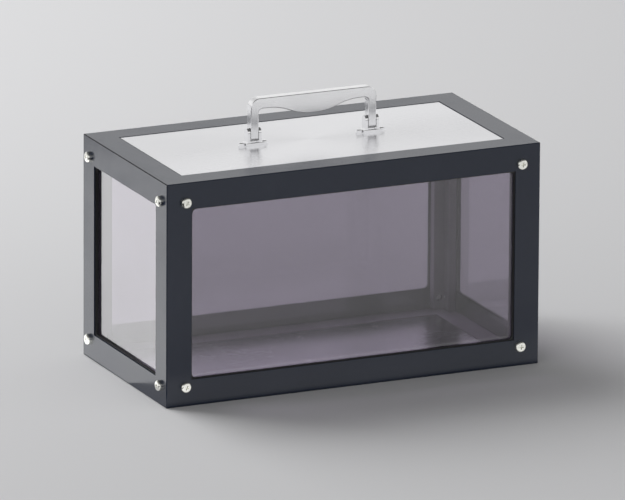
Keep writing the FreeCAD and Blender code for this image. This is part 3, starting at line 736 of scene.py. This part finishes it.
class ISOBOX_OT_seals(BuildOperator, bpy.types.Operator):
    """Blacken the window beads and the two flat seals"""
    bl_idname = "isobox.seals"
    bl_label = "Fit Beads and Seals"

    def execute(self, context):
        material = rubber_material()
        for node in (*(f"{wall}_gasket" for wall in WALLS), "lid_seal", "floor_seal"):
            dress(node, material)
        return {"FINISHED"}


class ISOBOX_OT_plates(BuildOperator, bpy.types.Operator):
    """Give the lid and the floor their satin finish"""
    bl_idname = "isobox.plates"
    bl_label = "Finish Plates"

    def execute(self, context):
        colour = self.settings.metal.plate_colour
        satin = metal_material(
            "satin_plate", colour, clean=0.26, rubbed=0.27, grain_scale=160.0, grain_depth=0.001 * MM,
            stretch=(1.0, 14.0, 14.0), anisotropic=0.3)
        for node in ("lid_plate", "floor_plate"):
            dress(node, satin)
        return {"FINISHED"}


class ISOBOX_OT_handle(BuildOperator, bpy.types.Operator):
    """Plate the folding handle, its brackets and its pins"""
    bl_idname = "isobox.handle"
    bl_label = "Plate Handle"

    def execute(self, context):
        material = chrome()
        dress("handle_bail", satin_chrome())
        for side in ("left", "right"):
            dress(f"handle_bracket_{side}", material)
            dress(f"handle_pin_{side}", material)
        return {"FINISHED"}


class ISOBOX_OT_fasteners(BuildOperator, bpy.types.Operator):
    """Turn the wall screws, base screws, bracket screws and nuts"""
    bl_idname = "isobox.fasteners"
    bl_label = "Turn Fasteners"

    def execute(self, context):
        self.tree = screw_tree()
        for number, wall in enumerate(WALLS):
            self.wall_screws(wall, number)
        self.base_screws()
        self.bracket_screws()
        dress("bracket_nuts", zinc())
        return {"FINISHED"}

    def places(self, node, face, head_radius):
        """Middle of a group of four, and its half sizes across and up between the screws' axes."""
        low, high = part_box(node)
        centre = (low + high) / 2
        outward, across = FACES[face]
        upward = outward.cross(across)
        size = high - low
        half_across = abs(size.dot(across)) / 2 - head_radius
        half_up = abs(size.dot(upward)) / 2 - head_radius
        return centre, half_across, half_up

    def wall_screws(self, wall, seed):
        """Pan-head screws at the corners of a wall, their heads on its frame."""
        node = f"{wall}_screws"
        centre, across, up = self.places(node, wall, PAN_HEAD)
        outward = FACES[wall][0]
        frame_low, frame_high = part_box(f"{wall}_frame")
        surface = max(frame_low.dot(outward), frame_high.dot(outward))
        centre += outward * (surface - centre.dot(outward))
        item = grow(f"{wall}_wall_screws", self.tree,
                    {"Across": across, "Up": up, "Seed": seed, "Material": zinc()},
                    face_matrix(wall, centre))
        finish_piece(item, "box", node)

    def base_screws(self):
        """Countersunk screws in the underside, their heads level with it."""
        centre, across, up = self.places("base_screws", "bottom", SUNK_HEAD)
        centre.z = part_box("bottom_frame")[0].z
        item = grow("countersunk_base_screws", self.tree, {
            "Head Radius": SUNK_HEAD, "Head Height": 0.0, "Head Rounding": 0.0, "Rim Height": 0.15 * MM,
            "Cone Depth": 1.75 * MM, "Shank Radius": 2.0 * MM, "Recess Depth": 1.8 * MM,
            "Across": across, "Up": up, "Seed": 7, "Material": zinc()}, face_matrix("bottom", centre))
        finish_piece(item, "box", "base_screws")

    def bracket_screws(self):
        """Two pairs in one row: each pair stands either side of the middle of its bracket."""
        low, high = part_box("bracket_screws")
        bracket_low, bracket_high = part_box("handle_bracket_right")
        bracket = (bracket_low.x + bracket_high.x) / 2
        outermost = high.x - SMALL_HEAD
        head_foot = high.z - SMALL_HEAD_HEIGHT
        item = grow("small_bracket_screws", self.tree, {
            "Head Radius": SMALL_HEAD, "Head Height": SMALL_HEAD_HEIGHT, "Head Rounding": 1.0 * MM,
            "Rim Height": SMALL_HEAD_HEIGHT, "Shank Radius": 1.5 * MM, "Shank Length": head_foot - low.z,
            "Recess Width": 0.7 * MM, "Recess Span": 2.8 * MM, "Recess Depth": 1.2 * MM,
            "Across": bracket, "Up": outermost - bracket, "Row": 1.0, "Seed": 3, "Material": chrome()},
            face_matrix("top", Vector((0, 0, head_foot))))
        finish_piece(item, "lid", "bracket_screws")


class ISOBOX_OT_stage(BuildOperator, bpy.types.Operator):
    """Lay the floor, hang the lights and place the camera"""
    bl_idname = "isobox.stage"
    bl_label = "Set Stage"

    def execute(self, context):
        self.floor()
        self.world()
        self.key()
        self.reflector("left_reflector", middle=(-0.336, 0.353), size=(0.16, 0.79), brightness=1.15,
                       turn=-self.settings.stage.azimuth)
        self.reflector("front_reflector", middle=(0.58, -0.85), size=(1.5, 1.5), brightness=0.30)
        self.reflector("front_skirt", middle=(0.03, -0.132), size=(0.46, 0.075), brightness=0.35)
        self.flag("front_left_flag", middle=(-1.0, -0.75), size=(1.6, 1.3))
        self.camera()
        return {"FINISHED"}

    def floor(self):
        """A wide plain floor."""
        mesh = bpy.data.meshes.new("floor")
        disc = bmesh.new()
        bmesh.ops.create_circle(disc, cap_ends=True, segments=96, radius=FLOOR_RADIUS)
        disc.to_mesh(mesh)
        disc.free()
        item = link_mesh("floor", mesh, matt_material("plain_floor", self.settings.stage.floor_colour))

    def world(self):
        """Soft light all round, bright near the horizon and dim overhead."""
        world = bpy.data.worlds.new("soft_studio")
        bpy.context.scene.world = world
        world.use_nodes = True
        tree = world.node_tree
        direction = tree.nodes.new("ShaderNodeTexCoord").outputs["Generated"]
        height = add_node(tree, "ShaderNodeSeparateXYZ", {0: direction}).outputs["Z"]
        shade = add_node(tree, "ShaderNodeMapRange",
                         {"Value": height, "From Min": 0.30, "From Max": 0.75,
                          "To Min": 0.90, "To Max": 0.12}, interpolation_type="SMOOTHSTEP")
        tree.links.new(shade.outputs[0], tree.nodes["Background"].inputs["Color"])

    def lamp(self, name, place, target, size, power):
        """A softbox aimed at a point, which the camera itself doesn't see."""
        light = bpy.data.lights.new(name, "AREA")
        light.shape = "RECTANGLE"
        light.size, light.size_y = size
        light.energy = power
        item = bpy.data.objects.new(name, light)
        bpy.context.scene.collection.objects.link(item)
        item.location = place
        item.rotation_mode = "QUATERNION"
        item.rotation_quaternion = (target - place).to_track_quat("-Z", "Y")
        item.visible_camera = False
        item.visible_transmission = False
        return item

    def key(self):
        """The main softbox, and a dimmer one in its place for polished surfaces to mirror."""
        place, target, size = Vector((-1.2, 2.2, 2.6)), Vector((0, 0, 0.1)), (2.5, 2.5)
        self.lamp("key_softbox", place, target, size, power=115.0).visible_glossy = False
        self.lamp("key_mirrored", place, target, size, power=24.0).visible_diffuse = False

    def reflector(self, name, middle, size, brightness, turn=0.0):
        """A card on the floor that shows only in reflections, over whatever the floor adds."""
        place = Vector((*middle, REFLECTOR_HEIGHT))
        item = self.lamp(name, place, place + Vector((0, 0, 1)), size,
                         brightness * math.pi * size[0] * size[1])
        item.rotation_quaternion = Quaternion((0, 0, 1), turn) @ Quaternion((1, 0, 0), math.pi)
        item.visible_diffuse = False

    def flag(self, name, middle, size):
        """A black card on the floor that shows only in reflections."""
        mesh = bpy.data.meshes.new(name)
        card = bmesh.new()
        bmesh.ops.create_grid(card, x_segments=1, y_segments=1, size=0.5)
        card.to_mesh(mesh)
        card.free()
        mesh.transform(Matrix.Translation((*middle, FLAG_HEIGHT)) @ Matrix.Diagonal((*size, 1, 1)))
        item = link_mesh(name, mesh, matt_material(name, (0.0, 0.0, 0.0)))
        item.visible_camera = False
        item.visible_diffuse = False
        item.visible_transmission = False
        item.visible_shadow = False

    def camera(self):
        """A camera with a long lens, aimed at the middle of the box."""
        stage = self.settings.stage
        back = Vector((math.sin(stage.azimuth) * math.cos(stage.elevation),
                       -math.cos(stage.azimuth) * math.cos(stage.elevation),
                       math.sin(stage.elevation)))
        lens = bpy.data.cameras.new("camera")
        lens.lens = stage.lens
        lens.sensor_width = 36.0
        lens.clip_end = 200.0
        item = bpy.data.objects.new("camera", lens)
        bpy.context.scene.collection.objects.link(item)
        item.location = CAMERA_TARGET + back * stage.distance
        item.rotation_mode = "QUATERNION"
        item.rotation_quaternion = Quaternion(back, stage.roll) @ (-back).to_track_quat("-Z", "Y")
        bpy.context.scene.camera = item
        bpy.context.scene.view_settings.view_transform = "Standard"


class ISOBOX_PT_sidebar(bpy.types.Panel):
    """Shows the box's settings and the buttons that build its pieces"""
    bl_idname = "ISOBOX_PT_sidebar"
    bl_label = "Isolation Box"
    bl_space_type = "VIEW_3D"
    bl_region_type = "UI"
    bl_category = "Isolation Box"

    def draw(self, context):
        settings = context.scene.isobox
        for group in (settings.coating, settings.window, settings.metal, settings.stage):
            box = self.layout.box()
            for name in group.__annotations__:
                box.prop(group, name)
        for operator in OPERATORS:
            self.layout.operator(operator.bl_idname)


OPERATORS = (ISOBOX_OT_frames, ISOBOX_OT_windows, ISOBOX_OT_seals, ISOBOX_OT_plates,
             ISOBOX_OT_handle, ISOBOX_OT_fasteners, ISOBOX_OT_stage)
CLASSES = (ISOBOX_PG_coating, ISOBOX_PG_window, ISOBOX_PG_metal, ISOBOX_PG_stage,
           ISOBOX_PG_settings, *OPERATORS, ISOBOX_PT_sidebar)


def register():
    for item in CLASSES:
        bpy.utils.register_class(item)
    bpy.types.Scene.isobox = PointerProperty(type=ISOBOX_PG_settings)


def unregister():
    del bpy.types.Scene.isobox
    for item in reversed(CLASSES):
        bpy.utils.unregister_class(item)


def main():
    register()
    bpy.ops.isobox.frames()
    bpy.ops.isobox.windows()
    bpy.ops.isobox.seals()
    bpy.ops.isobox.plates()
    bpy.ops.isobox.handle()
    bpy.ops.isobox.fasteners()
    bpy.ops.isobox.stage()


if __name__ == "__main__":
    main()
